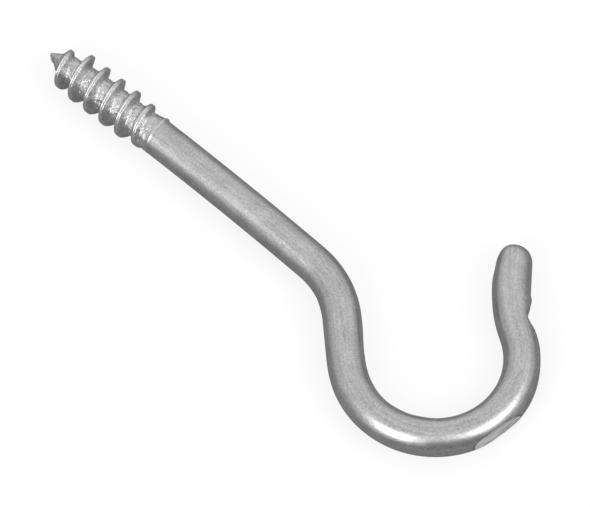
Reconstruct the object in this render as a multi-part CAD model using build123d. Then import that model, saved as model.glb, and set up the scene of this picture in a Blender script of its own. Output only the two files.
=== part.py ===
from build123d import *
import math
import os

# ---------------------------------------------------------------- driving dimensions (mm, degrees)
# Row frame: +X along the shank from the point to the hook, hook plane in XY, origin at the shoulder.
WIRE_D = 5.0  # drawn wire the whole part is bent from

POINT_L = 17.5  # shoulder to the very point
POINT_NOSE_R = 0.12  # blunting of the point
POINT_HALF_ANGLE = 30.0  # half angle of the pointed core
CORE_START_R = 1.45  # core radius where the pointed cone meets the long taper
CORE_R = 2.18  # core radius of the full thread
CORE_TAPER_L = 9.0  # length of the long core taper
SHOULDER_L = 1.6  # blend from the core up to the wire
SHOULDER_X = 1.0  # where that blend reaches the wire

THREAD_PITCH = 2.684
THREAD_R = 3.24  # crest radius of the full thread
THREAD_START_BACK = 1.1  # the ridge leaves the core this far behind the point
THREAD_RISE_L = 4.0  # axial length over which the ridge grows to full height
THREAD_FADE_L = 6.5  # axial length over which the ridge sinks into the shank
THREAD_END_X = 1.6  # where the last of the ridge is gone
THREAD_BASE_W = 1.90  # width of the ridge at the core
THREAD_CREST_W = 0.50  # width of the rounded crest
THREAD_CREST_H = 0.12  # bulge of that crest over its edges
THREAD_CLOCK = -86.9  # clocking of the ridge about the axis
THREAD_SINK = 0.30  # depth of the ridge's foot inside the core
SECTIONS_PER_TURN = 12

SHANK_STRAIGHT_L = 2.0
LEAD_L = 26.4  # slightly bowed length of the shank
LEAD_ANGLE = 2.4  # its bow
NECK_R = 12.8  # centreline radius of the bend away from the shank's axis
NECK_ANGLE = 41.65
NECK_RUN = 6.6
BOWL_INNER_R = 8.84
BOWL_ANGLE = 191.4
FLARE_LEAD = 1.0
FLARE_R = 14.9  # centreline radius of the bend back out at the mouth
FLARE_ANGLE = 19.7
TIP_RUN = 4.43  # straight length before the round end
TIP_FLAT_D = 1.2  # small flat on top of the round end

DIE_MARK_R = 4.0  # round edge of the bending tool that marked the wire
DIE_MARK_DEPTH = 0.69
DIE_MARK_AT = 2.0  # from the end of the bowl, along the wire

FLAT_ANGLE = -12.1  # direction of the pressed flat, seen from the bowl's centre
FLAT_DEPTH = 0.5

# ---------------------------------------------------------------- derived
WIRE_R = WIRE_D / 2
BOWL_R = BOWL_INNER_R + WIRE_R
LEAD_R = LEAD_L / math.radians(LEAD_ANGLE)
X_POINT = -POINT_L
CONE_L = (CORE_START_R - POINT_NOSE_R) / math.tan(math.radians(POINT_HALF_ANGLE))
X_CONE_END = X_POINT + CONE_L
X_TAPER_END = X_CONE_END + CORE_TAPER_L
X_RIDGE_START = X_POINT + THREAD_START_BACK


# ---------------------------------------------------------------- the wire's centreline
class Bender:
    """Follows the wire along its centreline in the XY plane, one straight or bend at a time."""

    def __init__(self, x, y, heading):
        self.x = x
        self.y = y
        self.heading = heading
        self.edges = []
        self.centre = None

    def straight(self, length):
        start = (self.x, self.y)
        self.x += length * math.cos(self.heading)
        self.y += length * math.sin(self.heading)
        self.edges.append(Edge.make_line(start, (self.x, self.y)))

    def bend(self, radius, angle, side):
        """side is +1 for a bend to the left and -1 for a bend to the right."""
        turn = math.radians(angle) * side
        cx = self.x - side * radius * math.sin(self.heading)
        cy = self.y + side * radius * math.cos(self.heading)

        def at(part):
            h = self.heading + turn * part
            return (cx + side * radius * math.sin(h), cy - side * radius * math.cos(h))

        self.edges.append(Edge.make_three_point_arc(at(0), at(0.5), at(1)))
        self.x, self.y = at(1)
        self.heading += turn
        self.centre = (cx, cy)


def bend_hook():
    """Returns the centreline edges, the bowl's centre, and the wire's states at bowl end and tip."""
    wire = Bender(SHANK_STRAIGHT_L, 0.0, 0.0)
    wire.bend(LEAD_R, LEAD_ANGLE, -1)
    wire.bend(NECK_R, NECK_ANGLE, -1)
    wire.straight(NECK_RUN)
    wire.bend(BOWL_R, BOWL_ANGLE, +1)
    bowl_centre = wire.centre
    bowl_end = (wire.x, wire.y, wire.heading)
    wire.straight(FLARE_LEAD)
    wire.bend(FLARE_R, FLARE_ANGLE, -1)
    wire.straight(TIP_RUN)
    tip = (wire.x, wire.y, wire.heading)
    return wire.edges, bowl_centre, bowl_end, tip


# ---------------------------------------------------------------- screw end
def core_radius(x):
    """Radius of the bare core at a station on the axis: cone, easing taper, straight."""
    if x < X_CONE_END:
        slope = math.tan(math.radians(POINT_HALF_ANGLE))
        return POINT_NOSE_R + max(0.0, x - X_POINT) * slope
    if x < X_TAPER_END:
        left = (X_TAPER_END - x) / CORE_TAPER_L
        return CORE_R - (CORE_R - CORE_START_R) * left**2
    return CORE_R


def make_core():
    """Point, tapered core, shoulder and the straight of the shank, as one turned solid."""
    stations = [
        X_POINT,
        X_POINT + CONE_L / 2,
        X_CONE_END,
        X_CONE_END + CORE_TAPER_L * 0.4,
        X_CONE_END + CORE_TAPER_L * 0.75,
        X_TAPER_END,
        SHOULDER_X - SHOULDER_L,
    ]
    outline = [(x, core_radius(x)) for x in stations]
    outline.append((SHOULDER_X - SHOULDER_L / 2, (CORE_R + WIRE_R) / 2))
    outline.append((SHOULDER_X, WIRE_R))
    cone_direction = (1, math.tan(math.radians(POINT_HALF_ANGLE)))
    with BuildSketch(Plane.XY) as profile:
        with BuildLine():
            Line((X_POINT, 0), outline[0])
            Spline(outline, tangents=[cone_direction, (1, 0)])
            Line(outline[-1], (SHANK_STRAIGHT_L, WIRE_R))
            Line((SHANK_STRAIGHT_L, WIRE_R), (SHANK_STRAIGHT_L, 0))
            Line((SHANK_STRAIGHT_L, 0), (X_POINT, 0))
        make_face()
    return revolve(profile.sketch, axis=Axis.X)


def crest_radius(x):
    """Crest of the ridge: rises from the core near the point, sinks again at the shoulder."""
    low_start = core_radius(X_RIDGE_START) - THREAD_SINK / 2
    low_end = WIRE_R - THREAD_SINK / 2
    rise = min(1.0, (x - X_RIDGE_START) / THREAD_RISE_L)
    rising = low_start + (THREAD_R - low_start) * math.sin(rise * math.pi / 2)
    fade = min(1.0, (THREAD_END_X - x) / THREAD_FADE_L)
    fading = low_end + (THREAD_R - low_end) * math.sin(fade * math.pi / 2)
    return min(rising, fading)


def ridge_section(x, turn_angle):
    """One axial section of the ridge, with its foot inside the core."""
    crest = crest_radius(x)
    height = max(0.1, crest - core_radius(x))
    grown = min(1.0, height / (THREAD_R - CORE_R))
    half_base = THREAD_BASE_W / 2 * (0.35 + 0.65 * grown)
    half_crest = THREAD_CREST_W / 2 * (0.35 + 0.65 * grown)
    foot_left = core_radius(x - half_base)
    foot_right = core_radius(x + half_base)
    direction = math.radians(turn_angle)

    def at(station, radius):
        return (station, radius * math.cos(direction), radius * math.sin(direction))

    left = at(x - half_base, foot_left - min(THREAD_SINK, foot_left / 2))
    right = at(x + half_base, foot_right - min(THREAD_SINK, foot_right / 2))
    crest_left = at(x - half_crest, crest - THREAD_CREST_H * grown)
    crest_right = at(x + half_crest, crest - THREAD_CREST_H * grown)
    edges = [
        Edge.make_line(left, crest_left),
        Edge.make_three_point_arc(crest_left, at(x, crest), crest_right),
        Edge.make_line(crest_right, right),
        Edge.make_line(right, left),
    ]
    return Wire(edges)


def make_ridge():
    """The right-hand thread ridge, lofted through axial sections along its helix."""
    length = THREAD_END_X - X_RIDGE_START
    steps = math.ceil(length / THREAD_PITCH * SECTIONS_PER_TURN)
    sections = []
    for i in range(steps + 1):
        x = X_RIDGE_START + length * i / steps
        turn_angle = THREAD_CLOCK + 360 * x / THREAD_PITCH
        sections.append(ridge_section(x, turn_angle))
    return Solid.make_loft(sections)


# ---------------------------------------------------------------- hook end
def make_hook_wire(edges, tip):
    """The bent wire with its round end."""
    path = Wire(edges)
    start = Plane(origin=(SHANK_STRAIGHT_L, 0, 0), z_dir=(1, 0, 0))
    wire = sweep(start * Circle(WIRE_R), path=path)
    x, y, heading = tip
    end = Plane(origin=(x, y, 0), z_dir=(math.cos(heading), math.sin(heading), 0))
    trim = WIRE_R - math.sqrt(WIRE_R**2 - (TIP_FLAT_D / 2) ** 2)
    cap = Sphere(WIRE_R)
    keep = Pos(0, 0, (WIRE_R - trim) / 2) * Cylinder(WIRE_D, WIRE_R - trim)
    return wire + end * (cap & keep)


def make_die_mark(bowl_end):
    """Round-edged tool mark across the outer side of the wire, at the bend back out."""
    x, y, heading = bowl_end
    reach = WIRE_R + DIE_MARK_R - DIE_MARK_DEPTH
    cx = x + DIE_MARK_AT * math.cos(heading) + reach * math.sin(heading)
    cy = y + DIE_MARK_AT * math.sin(heading) - reach * math.cos(heading)
    return Pos(cx, cy, 0) * Cylinder(DIE_MARK_R, 2 * WIRE_D)


def make_pressed_flat(bowl_centre):
    """Block outside the pressed flat on the outer side of the bowl."""
    angle = math.radians(FLAT_ANGLE)
    near = BOWL_R + WIRE_R - FLAT_DEPTH
    reach = near + WIRE_D
    cx = bowl_centre[0] + reach * math.cos(angle)
    cy = bowl_centre[1] + reach * math.sin(angle)
    return Pos(cx, cy, 0) * Rot(0, 0, FLAT_ANGLE) * Box(2 * WIRE_D, 4 * WIRE_D, 2 * WIRE_D)


def make_screw_hook():
    edges, bowl_centre, bowl_end, tip = bend_hook()
    body = make_core() + make_hook_wire(edges, tip)
    body = body - make_die_mark(bowl_end) - make_pressed_flat(bowl_centre)
    return body + make_ridge()


os.makedirs("parts", exist_ok=True)
export_step(make_screw_hook(), "parts/screw_hook.step")
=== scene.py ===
import math

import bpy
import numpy as np
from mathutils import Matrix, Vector


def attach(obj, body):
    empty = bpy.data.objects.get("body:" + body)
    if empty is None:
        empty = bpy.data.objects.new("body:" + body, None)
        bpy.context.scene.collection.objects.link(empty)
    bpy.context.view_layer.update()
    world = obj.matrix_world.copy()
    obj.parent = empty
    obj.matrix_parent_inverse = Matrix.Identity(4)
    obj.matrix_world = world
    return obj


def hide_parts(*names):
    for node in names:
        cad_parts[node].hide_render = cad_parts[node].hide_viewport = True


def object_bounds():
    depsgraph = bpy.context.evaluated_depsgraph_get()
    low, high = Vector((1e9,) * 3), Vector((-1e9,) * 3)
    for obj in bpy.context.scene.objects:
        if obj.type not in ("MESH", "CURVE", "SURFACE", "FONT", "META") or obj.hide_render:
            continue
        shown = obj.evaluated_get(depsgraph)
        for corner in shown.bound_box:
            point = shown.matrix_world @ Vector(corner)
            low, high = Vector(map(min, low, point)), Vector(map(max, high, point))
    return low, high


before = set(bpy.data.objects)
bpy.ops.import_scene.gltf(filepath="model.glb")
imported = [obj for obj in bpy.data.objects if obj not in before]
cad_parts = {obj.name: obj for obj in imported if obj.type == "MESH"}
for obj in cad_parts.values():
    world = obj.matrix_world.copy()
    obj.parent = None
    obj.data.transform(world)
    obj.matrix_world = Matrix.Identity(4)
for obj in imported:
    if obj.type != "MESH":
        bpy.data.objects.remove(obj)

CAD_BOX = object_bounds()
MM = 0.001

# ---------------------------------------------------------------- the hook's sizes, mm and degrees
# Stations and arc lengths run along the wire's axis from the shoulder, and are negative on the screw.
# A pair is the stretch over which something sets in or stops.
WIRE_R = 2.5

# the screw's pointed core
POINT_L = 17.5
NOSE_R = 0.12
POINT_SLOPE = math.tan(math.radians(32.0))
CONE_END_R = 1.45
CONE_END_BEFORE = 0.5
CONE_END_AFTER = 0.7
CORE_R = 2.18
CORE_TAPER_L = 9.0
SHOULDER_X = 1.0
SHOULDER_L = 2.6
SCREW_TO_WIRE = (1.3, 2.2)

# the thread's ridge
PITCH = 2.684
CREST_R = 3.225
CREST_AT = 0.648  # station of the ridge on the +Y side
RISE_START = -17.05
RISE_L = 4.1
RISE_FROM_R = 0.20
FADE_END = 1.6
FADE_L = 6.5
FADE_BELOW = 0.15  # how far under the wire's surface it ends
RIDGE_HALF_BASE = 0.86
RIDGE_HALF_CREST = 0.16
RIDGE_WAVER = 0.035
WAVER_CELLS = 6.0  # noise cells in a turn
CREST_DIP = 0.030
DIP_CELLS = 2.3  # as a multiple of the waver's
SEAM_AT = -0.035  # from the ridge's middle
SEAM_HALF = 0.06
SEAM_DEPTH = 0.075
SEAM_HEIGHTS = (0.4, 0.9)  # ridge heights at which the seam sets in

# the rolled metal between the ridges
ROLLED_START = (-POINT_L + 0.9, -POINT_L + 2.3)
ROLLED_STOP = (0.2, 1.3)
CRINKLE_L = 0.42
CRINKLES_AROUND = 30
CRINKLE_DEPTH = 0.062
SMALLER_ALONG = 2.1  # how much finer the small crinkles are
SMALLER_AROUND = 2
SMALL_SHARE = 0.6
FINE_L = 0.16
FINE_AROUND = 96
FINE_DEPTH = 0.030
ROOT_AT = 1.05  # from the ridge's middle
ROOT_HALF = 0.45
ROOT_DEPTH = 0.012
FLANK_CRINKLE = 0.02
FLANK_FINE = 0.018
FLANK_STOP = (0.85, 1.0)  # share of the ridge's height

# the collar and the burr where the rolled length stops; their places around it are in radians
COLLAR_X = SHOULDER_X + 0.1
COLLAR_SLANT = 0.175
COLLAR_TURN = 0.4
COLLAR_HALF = 0.24
COLLAR_HEIGHT = 0.038
BURR_X = SHOULDER_X - 0.15
BURR_TURN = 0.5
BURR_REACH = (0.25, 0.8)
BURR_HALF = 0.42
BURR_HEIGHT = 0.17
SCREW_LIMIT_R = CREST_R + 0.01

# bright lines rubbed along the crest: distance from the ridge's middle, half width, strength
RUBBED_LINES = [(-0.17, 0.07, 1.0), (0.10, 0.06, 0.8)]
RUBBED_START = (-15.5, -14.0)
RUBBED_STOP = (0.2, 0.9)
COLLAR_LINE_AT = 0.05
COLLAR_LINE_HALF = 0.09
COLLAR_LINE = 0.75

# the bent wire
STRAIGHT_L = 2.0
LEAD_L = 26.4
LEAD_ANGLE = 2.4
NECK_R = 12.8
NECK_ANGLE = 41.65
NECK_RUN = 6.6
BOWL_R = 11.34
BOWL_ANGLE = 191.4
FLARE_LEAD = 1.0
FLARE_R = 14.9
FLARE_ANGLE = 19.7
TIP_RUN = 4.3
TIP_DOME_L = 2.38
DOME_POWER = 2.1
DOME_END = 0.20  # share of the radius left at the last ring
DRAWN_IN = 0.20  # share of the radius missing inside at the end
DRAWN_IN_L = 5.2

# straight runs (angle 0) and bends of the centreline: arc length, then turn to the left
RUNS = [
    (STRAIGHT_L, 0.0),
    (LEAD_L, -LEAD_ANGLE),
    (NECK_R * math.radians(NECK_ANGLE), -NECK_ANGLE),
    (NECK_RUN, 0.0),
    (BOWL_R * math.radians(BOWL_ANGLE), BOWL_ANGLE),
    (FLARE_LEAD, 0.0),
    (FLARE_R * math.radians(FLARE_ANGLE), -FLARE_ANGLE),
    (TIP_RUN + TIP_DOME_L, 0.0),
]
WIRE_END = sum(length for length, turn in RUNS)
BOWL_START = sum(length for length, turn in RUNS[:4])

# stretches of the outer side that bending thickened or thinned: change of radius, start, stop
OUTER_STRETCHES = [
    (0.08, (33.0, 36.0), (43.0, 46.0)),
    (-0.19, (73.0, 79.0), (84.0, 86.0)),
]
# short swellings and pinches: side (1 outer, -1 inner), change of radius, arc length, half length
SWELLINGS = [
    (-1, -0.12, 42.5, 3.6),
    (1, -0.004, 55.0, 12.0),
    (-1, -0.05, 52.0, 4.0),
    (-1, 0.06, 59.0, 2.5),
    (-1, 0.10, 89.3, 2.6),
]

# the bending tool's mark across the outer side of the mouth
MARK_SPAN = (79.0, 89.0)
MARK_RUN_IN = 0.30
MARK_RUN_IN_AT = (79.6, 83.0)
MARK_GROOVE = 0.40
MARK_GROOVE_AT = (81.6, 83.6)
MARK_BACK = (84.3, 86.9)
MARK_BURR = 0.17
MARK_BURR_AT = 87.35
MARK_BURR_HALF = 0.85
MARK_RAGGED = 0.05
MARK_RAGGED_CELLS = (3.0, 2.2)  # noise cells in a millimetre, along and across
MARK_RAGGED_FROM = (0.05, 0.4)  # depths at which its edge turns ragged
MARK_MASK_DEPTH = 0.10
LIP_MEAN = 0.7
LIP_UNEVEN = 0.5
LIP_CELLS = (2.0, 1.3)

# the pressed flat on the outer side of the bowl
FLAT_ANGLE = -12.1
FLAT_DEPTH = 0.53
FLAT_SPAN = (60.0, 76.0)
FLAT_WAVE = 0.05
FLAT_WAVE_CELLS = (0.7, 1.6)
FLAT_SCRATCH = 0.010
FLAT_SCRATCH_CELLS = (0.5, 9.0)
FLAT_MASK = (-0.01, 0.05)
FLAT_EDGE_AT = -0.01
FLAT_EDGE_HALF = 0.045

# the mesh: vertices around the wire, and stretches of rings by start, stop and spacing
AROUND = 120
RING_SPANS = [
    (-POINT_L, -16.0, 0.040),
    (-16.0, 1.7, 0.054),
    (1.7, 44.0, 0.42),
    (44.0, 63.5, 0.34),
    (63.5, 72.8, 0.105),
    (72.8, 79.5, 0.30),
    (79.5, 89.0, 0.13),
    (89.0, WIRE_END - TIP_DOME_L, 0.25),
]
DOME_RINGS = 22

# the surface noise: seeds, table sizes, and where on the table the flat surfaces are read
SEED_WAVER, SEED_DIP = 11, 12
SEED_CRINKLE, SEED_SMALL_CRINKLE, SEED_FINE = 21, 22, 23
SEED_RAGGED, SEED_LIP = 31, 32
SEED_WAVE, SEED_SCRATCH = 41, 42
NOISE_ROWS = 256
RIDGE_WRAP = 4
WIDE_WRAP = 64
SCRATCH_WRAP = 200
MARK_AT = (0.0, 40.0)
FLAT_WAVE_AT = (20.0, 40.0)
FLAT_SCRATCH_AT = (20.0, 90.0)


# ---------------------------------------------------------------- curves and noise
def centreline(s):
    """Position and heading of the wire's axis at arc lengths s from the shoulder."""
    px = np.where(s < 0, s, 0.0)
    py = np.zeros_like(s)
    ph = np.zeros_like(s)
    x = y = heading = start = 0.0
    for length, turn in RUNS:
        t = np.clip(s - start, 0.0, length)
        here = s >= start
        if turn == 0.0:
            nx = x + t * math.cos(heading)
            ny = y + t * math.sin(heading)
            nh = np.full_like(s, heading)
            x += length * math.cos(heading)
            y += length * math.sin(heading)
        else:
            radius = length / math.radians(turn)
            nh = heading + t / radius
            nx = x + radius * (np.sin(nh) - math.sin(heading))
            ny = y - radius * (np.cos(nh) - math.cos(heading))
            after = heading + math.radians(turn)
            x += radius * (math.sin(after) - math.sin(heading))
            y -= radius * (math.cos(after) - math.cos(heading))
            heading = after
        px = np.where(here, nx, px)
        py = np.where(here, ny, py)
        ph = np.where(here, nh, ph)
        start += length
    return px, py, ph


def smooth(x, low, high):
    """A soft step from 0 at low to 1 at high."""
    t = np.clip((x - low) / (high - low), 0.0, 1.0)
    return t * t * (3.0 - 2.0 * t)


def bump(x, centre, half):
    """A soft hump of height 1 that reaches 0 at a distance of half from its centre."""
    t = np.clip(np.abs(x - centre) / half, 0.0, 1.0)
    return 0.5 + 0.5 * np.cos(np.pi * t)


def line(x, centre, half):
    """A bell of height 1 around centre."""
    return np.exp(-((x - centre) / half) ** 2)


def value_noise(u, v, seed, wrap):
    """Smooth noise in -1..1 on the plane, repeating every wrap cells in v."""
    rng = np.random.default_rng(seed)
    table = rng.uniform(-1.0, 1.0, (NOISE_ROWS, wrap))
    iu = np.floor(u).astype(int)
    iv = np.floor(v).astype(int)
    fu = u - iu
    fv = v - iv
    fu = fu * fu * (3 - 2 * fu)
    fv = fv * fv * (3 - 2 * fv)
    a = table[iu % NOISE_ROWS, iv % wrap]
    b = table[(iu + 1) % NOISE_ROWS, iv % wrap]
    c = table[iu % NOISE_ROWS, (iv + 1) % wrap]
    d = table[(iu + 1) % NOISE_ROWS, (iv + 1) % wrap]
    return (a * (1 - fu) + b * fu) * (1 - fv) + (c * (1 - fu) + d * fu) * fv


def flat_noise(along, across, cells, shift, seed, wrap=WIDE_WRAP):
    """Noise on a flat surface, by distances in millimetres along and across it."""
    return value_noise(along * cells[0] + shift[0], across * cells[1] + shift[1], seed, wrap)


# ---------------------------------------------------------------- the screw
def core_radius(x):
    """Radius of the screw between its ridges, out to the shoulder."""
    tip = -POINT_L
    cone = NOSE_R + (x - tip) * POINT_SLOPE
    cone_end = tip + (CONE_END_R - NOSE_R) / POINT_SLOPE
    left = np.clip((cone_end + CORE_TAPER_L - x) / CORE_TAPER_L, 0.0, 1.0)
    taper = CORE_R - (CORE_R - CONE_END_R) * left**2
    blend = smooth(x, cone_end - CONE_END_BEFORE, cone_end + CONE_END_AFTER)
    core = cone * (1 - blend) + np.maximum(taper, CONE_END_R) * blend
    shoulder = smooth(x, SHOULDER_X - SHOULDER_L, SHOULDER_X)
    return core + (WIRE_R - CORE_R) * shoulder


def crest_radius(x):
    """Radius of the ridge's crest: it rises from the point and fades at the shoulder."""
    rise = np.sin(np.clip((x - RISE_START) / RISE_L, 0.0, 1.0) * np.pi / 2)
    rising = RISE_FROM_R + (CREST_R - RISE_FROM_R) * rise
    fade = np.sin(np.clip((FADE_END - x) / FADE_L, 0.0, 1.0) * np.pi / 2)
    fading = WIRE_R - FADE_BELOW + (CREST_R - WIRE_R + FADE_BELOW) * fade
    return np.minimum(rising, fading)


def from_ridge(x, angle):
    """Distance along the axis from the middle of the nearest turn of the ridge."""
    offset = x - CREST_AT - PITCH * angle / (2 * np.pi)
    return (offset + PITCH / 2) % PITCH - PITCH / 2


def collar_station(angle):
    """Where the slightly slanted collar lies around the shoulder."""
    return COLLAR_X - COLLAR_SLANT * np.cos(angle - COLLAR_TURN)


def screw_radius(x, angle):
    """Radius of the rolled thread at station x and angle around the axis, from +Y towards +Z."""
    core = core_radius(x)
    d = from_ridge(x, angle)
    turns = (x - d) / PITCH * WAVER_CELLS
    level = np.zeros_like(turns)
    d = d + RIDGE_WAVER * value_noise(turns, level, SEED_WAVER, RIDGE_WRAP)
    dip = 0.5 + 0.5 * value_noise(turns * DIP_CELLS, level, SEED_DIP, RIDGE_WRAP)
    height = np.maximum(0.0, crest_radius(x - d) - CREST_DIP * dip - core)
    t = np.clip((RIDGE_HALF_BASE - np.abs(d)) / (RIDGE_HALF_BASE - RIDGE_HALF_CREST), 0.0, 1.0)
    shape = t * t * (3 - 2 * t)
    radius = core + height * shape
    # the seam that rolling leaves along the crest
    radius = radius - SEAM_DEPTH * (line(d, SEAM_AT, SEAM_HALF) * smooth(height, *SEAM_HEIGHTS))

    # crinkled metal between the ridges, pinched at their feet, and lighter crinkles on their flanks
    root = 1.0 - smooth(np.abs(np.abs(d) - ROOT_AT), 0.0, ROOT_HALF)
    u = x / CRINKLE_L
    v = angle / (2 * np.pi) * CRINKLES_AROUND
    small = value_noise(
        u * SMALLER_ALONG, v * SMALLER_AROUND, SEED_SMALL_CRINKLE, CRINKLES_AROUND * SMALLER_AROUND)
    crinkle = value_noise(u, v, SEED_CRINKLE, CRINKLES_AROUND) + SMALL_SHARE * small
    fine = value_noise(x / FINE_L, angle / (2 * np.pi) * FINE_AROUND, SEED_FINE, FINE_AROUND)
    rolled = smooth(x, *ROLLED_START) * (1 - smooth(x, *ROLLED_STOP))
    between = (1.0 - shape) * (CRINKLE_DEPTH * crinkle + FINE_DEPTH * fine)
    radius = radius + rolled * (between - ROOT_DEPTH * root)
    flank = rolled * shape * (1 - smooth(shape, *FLANK_STOP))
    radius = radius + flank * (FLANK_FINE * fine + FLANK_CRINKLE * crinkle)

    # the thin collar and the burr where the rolled length stops
    collar = COLLAR_HEIGHT * bump(x, collar_station(angle), COLLAR_HALF)
    turned = np.abs((angle - BURR_TURN + np.pi) % (2 * np.pi) - np.pi)
    burr = BURR_HEIGHT * bump(x, BURR_X, BURR_HALF) * (1 - smooth(turned, *BURR_REACH))
    return np.minimum(radius + collar + burr, SCREW_LIMIT_R)


def crest_line(x, angle):
    """1 along the rubbed edges of the thread's crest, less along the collar, 0 elsewhere."""
    d = from_ridge(x, angle)
    lines = sum(strength * line(d, at, half) for at, half, strength in RUBBED_LINES)
    lines = np.clip(lines, 0.0, 1.0) * smooth(x, *RUBBED_START) * (1 - smooth(x, *RUBBED_STOP))
    collar = line(x - collar_station(angle), COLLAR_LINE_AT, COLLAR_LINE_HALF)
    return np.maximum(lines, COLLAR_LINE * collar)


# ---------------------------------------------------------------- the bent wire
def wire_radius(s, side):
    """Radius of the bent wire at arc length s; side runs from 1 outside the bowl to -1 inside it."""
    outer = np.clip(side, 0.0, 1.0)
    inner = np.clip(-side, 0.0, 1.0)
    change = np.zeros_like(s)
    for amount, start, stop in OUTER_STRETCHES:
        change = change + outer * amount * smooth(s, *start) * (1 - smooth(s, *stop))
    for which, amount, centre, half in SWELLINGS:
        change = change + (outer if which > 0 else inner) * amount * bump(s, centre, half)
    return WIRE_R + change


def cut_tool_mark(s, side, wire, lateral, up):
    """The bending tool's mark, a groove square across the outer side, its burr, and its mask."""
    depth = MARK_RUN_IN * smooth(s, *MARK_RUN_IN_AT) + MARK_GROOVE * smooth(s, *MARK_GROOVE_AT)
    depth = depth * (1.0 - smooth(s, *MARK_BACK))
    marked = (s > MARK_SPAN[0]) & (s < MARK_SPAN[1])
    ragged = MARK_RAGGED * flat_noise(s, up, MARK_RAGGED_CELLS, MARK_AT, SEED_RAGGED)
    wall = wire - depth + ragged * smooth(depth, *MARK_RAGGED_FROM)
    cut = np.maximum(lateral, -wall)
    mask = np.where(marked, smooth(cut - lateral, 0.0, MARK_MASK_DEPTH), 0.0)
    lateral = np.where(marked & (side > 0), cut, lateral)
    uneven = LIP_MEAN + LIP_UNEVEN * flat_noise(s, up, LIP_CELLS, MARK_AT, SEED_LIP)
    burr = MARK_BURR * bump(s, MARK_BURR_AT, MARK_BURR_HALF)
    lip = burr * np.clip(side, 0.0, 1.0) ** 2 * uneven
    return lateral - np.where(side > 0, lip, 0.0), mask


def round_tip(s, angle, lateral, up):
    """The round end: full on the outer side, drawn in over a longer stretch on the inner side."""
    to_end = np.clip((WIRE_END - s) / TIP_DOME_L, 0.0, 1.0)
    dome = np.clip(1.0 - (1.0 - to_end) ** DOME_POWER, 0.0, 1.0) ** (1.0 / DOME_POWER)
    dome = DOME_END + (1.0 - DOME_END) * dome
    drawn_in = DRAWN_IN * (1 - smooth(WIRE_END - s, 0.0, DRAWN_IN_L))
    lateral = lateral * dome * (1.0 - drawn_in * np.clip(np.cos(angle), 0.0, 1.0))
    return lateral, up * dome


def press_flat(s, px, py, pz):
    """The pressed flat on the outer side of the bowl, with the masks of it and of its edge."""
    bx, by, bh = centreline(np.array([BOWL_START]))
    cx = bx[0] - BOWL_R * math.sin(bh[0])
    cy = by[0] + BOWL_R * math.cos(bh[0])
    fa = math.radians(FLAT_ANGLE)
    reach = (px - cx) * math.cos(fa) + (py - cy) * math.sin(fa)
    along = -(px - cx) * math.sin(fa) + (py - cy) * math.cos(fa)
    wave = FLAT_WAVE * flat_noise(along, pz, FLAT_WAVE_CELLS, FLAT_WAVE_AT, SEED_WAVE)
    scratch = FLAT_SCRATCH * flat_noise(
        along, pz, FLAT_SCRATCH_CELLS, FLAT_SCRATCH_AT, SEED_SCRATCH, SCRATCH_WRAP)
    over = reach - (BOWL_R + WIRE_R - FLAT_DEPTH + wave + scratch)
    near = (s > FLAT_SPAN[0]) & (s < FLAT_SPAN[1])
    on_flat = (over > 0) & near
    mask = np.where(near, smooth(over, *FLAT_MASK), 0.0)
    edge = line(over, FLAT_EDGE_AT, FLAT_EDGE_HALF) * near
    px = np.where(on_flat, px - over * math.cos(fa), px)
    py = np.where(on_flat, py - over * math.sin(fa), py)
    return px, py, mask, edge


# ---------------------------------------------------------------- the mesh
def ring_stations():
    """Arc lengths of the rings: fine on the screw, the flat, the tool's mark and the end."""
    stations = []
    for low, high, step in RING_SPANS:
        count = max(1, round((high - low) / step))
        stations.extend(low + (high - low) * i / count for i in range(count))
    for i in range(DOME_RINGS):
        part = math.sin(i / DOME_RINGS * math.pi / 2)
        stations.append(WIRE_END - TIP_DOME_L + TIP_DOME_L * part)
    stations.append(WIRE_END)
    return np.array(stations)


def build_grid():
    """Vertex positions (mm), straightened-wire coordinates and the four masks, ring by ring."""
    s = ring_stations()[:, None]
    angle = (np.arange(AROUND) / AROUND * 2 * np.pi)[None, :]
    s, angle = np.broadcast_arrays(s, angle)
    s = s.astype(float)
    angle = angle.astype(float)
    # angle 0 is +Y (inside the bowl), pi is its outer side
    side = -np.cos(angle)
    wire = wire_radius(s, side)
    blend = smooth(s, *SCREW_TO_WIRE)
    radius = screw_radius(s, angle) * (1 - blend) + wire * blend
    straight = np.stack([s, radius * np.cos(angle), radius * np.sin(angle)], axis=-1)

    lateral, up = straight[..., 1], straight[..., 2]
    lateral, mark_mask = cut_tool_mark(s, side, wire, lateral, up)
    lateral, up = round_tip(s, angle, lateral, up)
    x, y, heading = centreline(s)
    px = x - lateral * np.sin(heading)
    py = y + lateral * np.cos(heading)
    px, py, flat_mask, flat_edge = press_flat(s, px, py, up)
    masks = {
        "pressed": flat_mask,
        "pressed_edge": flat_edge,
        "marked": mark_mask,
        "crest": crest_line(s, angle),
    }
    return np.stack([px, py, up], axis=-1), straight, masks


def unwrap(mesh, s):
    """Texture coordinates along the wire: u runs with its length, v around it."""
    uv = mesh.uv_layers.new(name="along_wire")
    us = (s - s[0]) / (s[-1] - s[0])
    vs = [(j / AROUND, (j + 1) / AROUND) for j in range(AROUND)]
    coords = []
    for u0, u1 in zip(us[:-1], us[1:]):
        for v0, v1 in vs:
            coords.extend([u0, v0, u0, v1, u1, v1, u1, v0])
    for v0, v1 in vs:
        coords.extend([0.0, v0, 0.0, v1, 0.0, v0])
        coords.extend([1.0, v0, 1.0, v0, 1.0, v1])
    uv.data.foreach_set("uv", coords)


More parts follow.
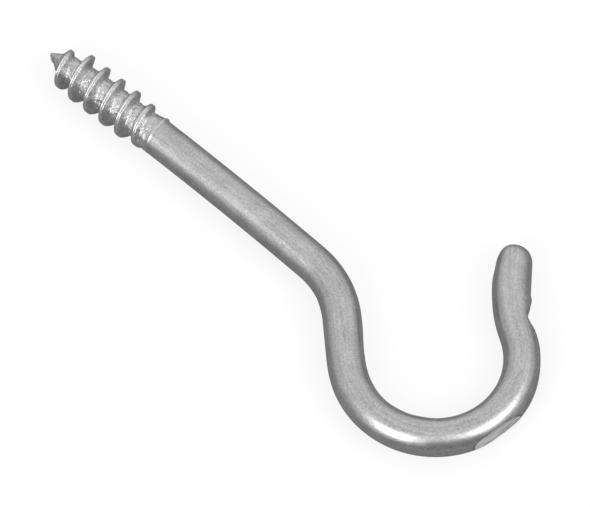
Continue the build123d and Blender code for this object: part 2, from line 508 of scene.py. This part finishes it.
def build_hook():
    """The whole hook as one closed mesh: quads between the rings and a fan at each end."""
    points, straight, masks = build_grid()
    rings = points.shape[0]
    verts = (points.reshape(-1, 3) * MM).tolist()
    verts.append((points[0].mean(axis=0) * MM).tolist())
    verts.append((points[-1].mean(axis=0) * MM).tolist())
    start_centre = rings * AROUND
    end_centre = start_centre + 1
    base = (rings - 1) * AROUND
    faces = []
    for a in range(0, base, AROUND):
        b = a + AROUND
        for j in range(AROUND):
            k = (j + 1) % AROUND
            faces.append((a + j, a + k, b + k, b + j))
    for j in range(AROUND):
        k = (j + 1) % AROUND
        faces.append((start_centre, k, j))
        faces.append((end_centre, base + j, base + k))
    mesh = bpy.data.meshes.new("hook_wire")
    mesh.from_pydata(verts, [], faces)
    mesh.polygons.foreach_set("use_smooth", [True] * len(mesh.polygons))

    s = straight[:, 0, 0]
    ends = np.array([[s[0], 0, 0], [s[-1], 0, 0]])
    unbent = mesh.attributes.new("unbent", "FLOAT_VECTOR", "POINT")
    unbent.data.foreach_set("vector", (np.vstack([straight.reshape(-1, 3), ends]) * MM).ravel())
    for name, mask in masks.items():
        layer = mesh.attributes.new(name, "FLOAT", "POINT")
        layer.data.foreach_set("value", np.append(mask.ravel(), [0.0, 0.0]))
    unwrap(mesh, s)
    mesh.validate()
    mesh.update()
    hook = bpy.data.objects.new("hook_wire", mesh)
    bpy.context.scene.collection.objects.link(hook)
    return hook


# ---------------------------------------------------------------- material
# noises drawn out along the wire: cells per metre along it and around it, detail, roughness
STREAKS = (130.0, 2800.0, 5.0, 0.66)
LONG_STREAKS = (45.0, 900.0, 3.0, 0.5)
PITS = (900.0, 2100.0, 2.0, 0.5)
SCRATCHES = (420.0, 3000.0, 4.0, 0.68)
# even noises: cells per metre, detail, roughness
MOTTLE = (420.0, 4.0, 0.6)
SPECKLE = (4200.0, 3.0, 0.65)
PATCHES = (1500.0, 4.0, 0.65)
DULL_PATCHES = (900.0, 4.0, 0.6)
CRINKLES = (2600.0, 5.0, 0.65)

# the end of the rolled length in metres, and how sharply it ends
ROLLED_TO = 0.0012
ROLLED_EDGE = 1500.0

# greys of the plating by noise value, with their share of the mix
STREAK_TONES = [(0.42, 0.46), (0.58, 0.76)]
LONG_STREAK_TONES = (0.34, [(0.40, 0.51), (0.60, 0.71)])
MOTTLE_TONES = (0.25, [(0.38, 0.46), (0.62, 0.78)])
SPECKLE_TONES = (0.32, [(0.38, 0.32), (0.62, 0.92)])
PATCH_TONES = (0.5, [(0.40, 0.58), (0.58, 1.0)])
# the pressed flat's greys: real scratch streaks, lifted nearly to white as painted light, so the flat
# reads light though it lies in shade
SCRATCH_AND_PAINTED_LIGHT_TONES = [(0.38, 0.40), (0.52, 0.98)]
PIT_DEPTHS = [(0.22, 1.0), (0.30, 0.0)]
PIT_GREY = (0.35, 0.30)
EDGE_GREY = (0.6, 0.12)
CREST_GREY = (0.8, 0.95)
# low on the pressed flat, so that its painted light shows as a matte, near-white surface
PRESSED_METALLIC = 0.20

# roughness by noise value, or as one level
STREAK_ROUGH = [(0.34, 0.26), (0.66, 0.39)]
MOTTLE_ROUGH = (0.4, [(0.34, 0.23), (0.66, 0.42)])
ROLLED_ROUGH = [(0.36, 0.16), (0.62, 0.42)]
PRESSED_ROUGH = 0.42
MARKED_ROUGH = 0.34
CREST_ROUGH = 0.14
ANISOTROPY = 0.2

# strength and depth (m) of the fine relief
DRAWN_RELIEF = (0.7, 0.000016)
CRINKLED_RELIEF = (0.75, 0.00013)
GRAINY_RELIEF = (0.45, 0.000020)


def grey(level):
    return (level, level, level, 1.0)


class Nodes:
    """Short hand for making and wiring the nodes of a material or a world."""

    def __init__(self, owner):
        owner.use_nodes = True
        self.tree = owner.node_tree
        self.tree.nodes.clear()

    def add(self, kind, **settings):
        node = self.tree.nodes.new(kind)
        for key, value in settings.items():
            setattr(node, key, value)
        return node

    def link(self, source, target):
        self.tree.links.new(source, target)

    def feed(self, socket, value):
        """Gives a socket a constant, or wires another node's output to it."""
        if isinstance(value, (int, float, tuple, Vector)):
            socket.default_value = value
        else:
            self.link(value, socket)

    def math(self, operation, a, b, clamp=False):
        node = self.add("ShaderNodeMath", operation=operation, use_clamp=clamp)
        self.feed(node.inputs[0], a)
        self.feed(node.inputs[1], b)
        return node.outputs[0]

    def attribute(self, name, output="Fac"):
        return self.add("ShaderNodeAttribute", attribute_name=name).outputs[output]

    def noise(self, vector, scale, detail, roughness):
        node = self.add("ShaderNodeTexNoise")
        node.inputs["Scale"].default_value = scale
        node.inputs["Detail"].default_value = detail
        node.inputs["Roughness"].default_value = roughness
        self.link(vector, node.inputs["Vector"])
        return node.outputs["Fac"]

    def long_noise(self, vector, along, across, detail, roughness):
        node = self.add("ShaderNodeMapping")
        node.inputs["Scale"].default_value = (along, across, across)
        self.link(vector, node.inputs["Vector"])
        return self.noise(node.outputs["Vector"], 1.0, detail, roughness)

    def ramp(self, value, stops):
        node = self.add("ShaderNodeValToRGB")
        for element, (position, level) in zip(node.color_ramp.elements, stops):
            element.position = position
            element.color = grey(level)
        self.link(value, node.inputs["Fac"])
        return node.outputs["Color"]

    def mix(self, factor, a, b):
        node = self.add("ShaderNodeMix", data_type="RGBA")
        for name, value in (("Factor", factor), (6, a), (7, b)):
            self.feed(node.inputs[name], value)
        return node.outputs[2]

    def relief(self, height, strength, distance, under=None):
        node = self.add("ShaderNodeBump")
        node.inputs["Distance"].default_value = distance
        self.feed(node.inputs["Strength"], strength)
        self.link(height, node.inputs["Height"])
        if under is not None:
            self.link(under, node.inputs["Normal"])
        return node.outputs["Normal"]


def zinc_material():
    """Satin zinc plating on drawn wire: lengthwise streaks, fine speckle, rougher rolled thread."""
    material = bpy.data.materials.new("zinc_plated_steel")
    n = Nodes(material)
    out = n.add("ShaderNodeOutputMaterial")
    shader = n.add("ShaderNodeBsdfPrincipled")
    n.link(shader.outputs["BSDF"], out.inputs["Surface"])
    shader.inputs["Anisotropic"].default_value = ANISOTROPY

    unbent = n.attribute("unbent", "Vector")
    pressed = n.attribute("pressed")
    pressed_edge = n.attribute("pressed_edge")
    marked = n.attribute("marked")
    crest = n.attribute("crest")
    station = n.add("ShaderNodeSeparateXYZ")
    n.link(unbent, station.inputs["Vector"])
    before_end = n.math("SUBTRACT", ROLLED_TO, station.outputs["X"])
    rolled = n.math("MULTIPLY", before_end, ROLLED_EDGE, clamp=True)

    streaks = n.long_noise(unbent, *STREAKS)
    long_streaks = n.long_noise(unbent, *LONG_STREAKS)
    mottle = n.noise(unbent, *MOTTLE)
    speckle = n.noise(unbent, *SPECKLE)

    tone = n.ramp(streaks, STREAK_TONES)
    for noise, (share, tones) in (
        (long_streaks, LONG_STREAK_TONES),
        (mottle, MOTTLE_TONES),
        (speckle, SPECKLE_TONES),
    ):
        tone = n.mix(share, tone, n.ramp(noise, tones))
    share, tones = PATCH_TONES
    patches = n.ramp(n.noise(unbent, *PATCHES), tones)
    tone = n.mix(n.math("MULTIPLY", rolled, share), tone, patches)
    share, level = PIT_GREY
    pits = n.ramp(n.long_noise(unbent, *PITS), PIT_DEPTHS)
    tone = n.mix(n.math("MULTIPLY", pits, share), tone, grey(level))
    # the pressed flat: scratch streaks lifted nearly to white, painted light that makes the flat read
    # light though it lies in shade
    tone = n.mix(pressed, tone, n.ramp(n.long_noise(unbent, *SCRATCHES), SCRATCH_AND_PAINTED_LIGHT_TONES))
    for mask, (share, level) in ((pressed_edge, EDGE_GREY), (crest, CREST_GREY)):
        tone = n.mix(n.math("MULTIPLY", mask, share), tone, grey(level))
    n.link(tone, shader.inputs["Base Color"])
    n.link(n.mix(pressed, grey(1.0), grey(PRESSED_METALLIC)), shader.inputs["Metallic"])

    share, levels = MOTTLE_ROUGH
    rough = n.mix(share, n.ramp(long_streaks, STREAK_ROUGH), n.ramp(mottle, levels))
    rough = n.mix(rolled, rough, n.ramp(n.noise(unbent, *DULL_PATCHES), ROLLED_ROUGH))
    for mask, level in ((pressed, PRESSED_ROUGH), (marked, MARKED_ROUGH), (crest, CREST_ROUGH)):
        rough = n.mix(mask, rough, grey(level))
    n.link(rough, shader.inputs["Roughness"])

    tangent = n.add("ShaderNodeTangent", direction_type="UV_MAP", uv_map="along_wire")
    n.link(tangent.outputs["Tangent"], shader.inputs["Tangent"])

    relief = n.relief(streaks, *DRAWN_RELIEF)
    strength, depth = CRINKLED_RELIEF
    off_crest = n.math("MULTIPLY", n.math("SUBTRACT", rolled, crest, clamp=True), strength)
    relief = n.relief(n.noise(unbent, *CRINKLES), off_crest, depth, under=relief)
    relief = n.relief(speckle, *GRAINY_RELIEF, under=relief)
    n.link(relief, shader.inputs["Normal"])
    return material


# ---------------------------------------------------------------- studio
AZIMUTH = 41.05
ELEVATION = 63.54
DISTANCE = 0.9857
TARGET = Vector((0.02595, -0.00106, 0.0))
FRAME_W = 590
FOCAL = 7600.0  # in the same unit as FRAME_W
SENSOR = 36.0
CLIP_END = 20.0

FLOOR_TONE = 0.22
FLOOR_GLOW = 0.81
FLOOR_HALF = 3.0
FLOOR_GAP = 0.00002
MIRRORED = 0.10  # how much of the white surroundings the metal shows

# brightness of the room, above and to both sides below, and where it changes between them
ROOM_HIGH = 0.70
ROOM_LOW_LEFT = 0.62
ROOM_LOW_RIGHT = 0.10
ROOM_LEFT_TO_RIGHT = (-0.5, 0.8)
ROOM_LOW_TO_HIGH = (-0.55, 0.75)
# darker parts of the room: angle to the side, angle of height, reach, depth
ROOM_SHADES = [
    (5.0, 5.0, 55.0, 0.95),
    (22.0, -15.0, 36.0, 0.45),
    (-90.0, -10.0, 62.0, 0.36),
]
# soft boxes: angle to the side, angle of height, width, height (m), power (W)
LEFT_BOX = (-34.0, 36.0, 0.39, 0.60, 2.3)
RIGHT_BOX = (57.0, 45.0, 0.60, 0.44, 1.9)
BOX_DISTANCE = 0.9


def direction(side_angle, height_angle):
    """Unit vector seen from the part: side_angle 0 is on the camera's side, + is to its right."""
    a = math.radians(AZIMUTH + side_angle)
    h = math.radians(height_angle)
    return Vector((math.sin(a) * math.cos(h), -math.cos(a) * math.cos(h), math.sin(h)))


def place(name, data, away, distance):
    """Puts a lamp or a camera at a distance from the part, looking at it."""
    thing = bpy.data.objects.new(name, data)
    thing.location = TARGET + away * distance
    thing.rotation_euler = away.to_track_quat("Z", "Y").to_euler()
    bpy.context.scene.collection.objects.link(thing)
    return thing


def softbox(name, side_angle, height_angle, width, height, power):
    data = bpy.data.lights.new(name, "AREA")
    data.shape = "RECTANGLE"
    data.size = width
    data.size_y = height
    data.energy = power
    place(name, data, direction(side_angle, height_angle), BOX_DISTANCE)


def place_camera():
    data = bpy.data.cameras.new("camera")
    data.sensor_width = SENSOR
    data.lens = SENSOR * FOCAL / FRAME_W
    data.clip_end = CLIP_END
    bpy.context.scene.camera = place("camera", data, direction(0.0, ELEVATION), DISTANCE)


def seen_rays(n):
    """1 to the camera and through glass, MIRRORED to reflections, 0 to the light that falls on things."""
    path = n.add("ShaderNodeLightPath").outputs
    direct = n.math("ADD", path["Is Camera Ray"], path["Is Transmission Ray"])
    mirrored = n.math("MULTIPLY", path["Is Glossy Ray"], MIRRORED)
    return n.math("ADD", direct, mirrored, clamp=True)


def make_floor():
    """A pale floor: white where the lamps reach it, a little darker in the hook's own shadow."""
    low = CAD_BOX[0][2] - FLOOR_GAP
    ends = (-FLOOR_HALF, FLOOR_HALF)
    corners = [(x, y, low) for x in ends for y in ends]
    mesh = bpy.data.meshes.new("floor")
    mesh.from_pydata(corners, [], [(0, 2, 3, 1)])
    floor = bpy.data.objects.new("floor", mesh)
    bpy.context.scene.collection.objects.link(floor)
    material = bpy.data.materials.new("pale_floor")
    n = Nodes(material)
    out = n.add("ShaderNodeOutputMaterial")
    paper = n.add("ShaderNodeBsdfDiffuse")
    paper.inputs["Color"].default_value = grey(FLOOR_TONE)
    glow = n.add("ShaderNodeEmission")
    n.link(n.math("MULTIPLY", seen_rays(n), FLOOR_GLOW), glow.inputs["Strength"])
    both = n.add("ShaderNodeAddShader")
    n.link(paper.outputs["BSDF"], both.inputs[0])
    n.link(glow.outputs["Emission"], both.inputs[1])
    n.link(both.outputs["Shader"], out.inputs["Surface"])
    mesh.materials.append(material)


def make_world():
    """A plain grey room, lighter above than below and darker on the right; white to the camera."""
    world = bpy.data.worlds.new("studio")
    bpy.context.scene.world = world
    n = Nodes(world)
    out = n.add("ShaderNodeOutputWorld")
    towards = n.add("ShaderNodeTexCoord").outputs["Generated"]

    def along(vector):
        node = n.add("ShaderNodeVectorMath", operation="DOT_PRODUCT")
        n.feed(node.inputs[0], towards)
        n.feed(node.inputs[1], vector)
        return node.outputs["Value"]

    def ease(value, low, high, from_value, to_value):
        node = n.add("ShaderNodeMapRange", interpolation_type="SMOOTHSTEP")
        names = ("Value", "From Min", "From Max", "To Min", "To Max")
        for name, given in zip(names, (value, low, high, from_value, to_value)):
            n.feed(node.inputs[name], given)
        return node.outputs["Result"]

    def background(strength):
        node = n.add("ShaderNodeBackground")
        node.inputs["Color"].default_value = grey(1.0)
        n.feed(node.inputs["Strength"], strength)
        return node.outputs["Background"]

    right = along(direction(90.0, 0.0))
    low_tone = ease(right, *ROOM_LEFT_TO_RIGHT, ROOM_LOW_LEFT, ROOM_LOW_RIGHT)
    room = ease(along((0.0, 0.0, 1.0)), *ROOM_LOW_TO_HIGH, low_tone, ROOM_HIGH)
    for side_angle, height_angle, reach, depth in ROOM_SHADES:
        near = along(direction(side_angle, height_angle))
        shade = ease(near, math.cos(math.radians(reach)), 1.0, 1.0, 1.0 - depth)
        room = n.math("MULTIPLY", room, shade)
    chosen = n.add("ShaderNodeMixShader")
    n.link(seen_rays(n), chosen.inputs["Fac"])
    n.link(background(room), chosen.inputs[1])
    n.link(background(1.0), chosen.inputs[2])
    n.link(chosen.outputs["Shader"], out.inputs["Surface"])


def main():
    hook = build_hook()
    hook.data.materials.append(zinc_material())
    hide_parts("screw_hook")
    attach(hook, "root")

    make_floor()
    make_world()
    softbox("left_box", *LEFT_BOX)
    softbox("right_box", *RIGHT_BOX)
    place_camera()

    scene = bpy.context.scene
    scene.view_settings.view_transform = "Standard"


main()
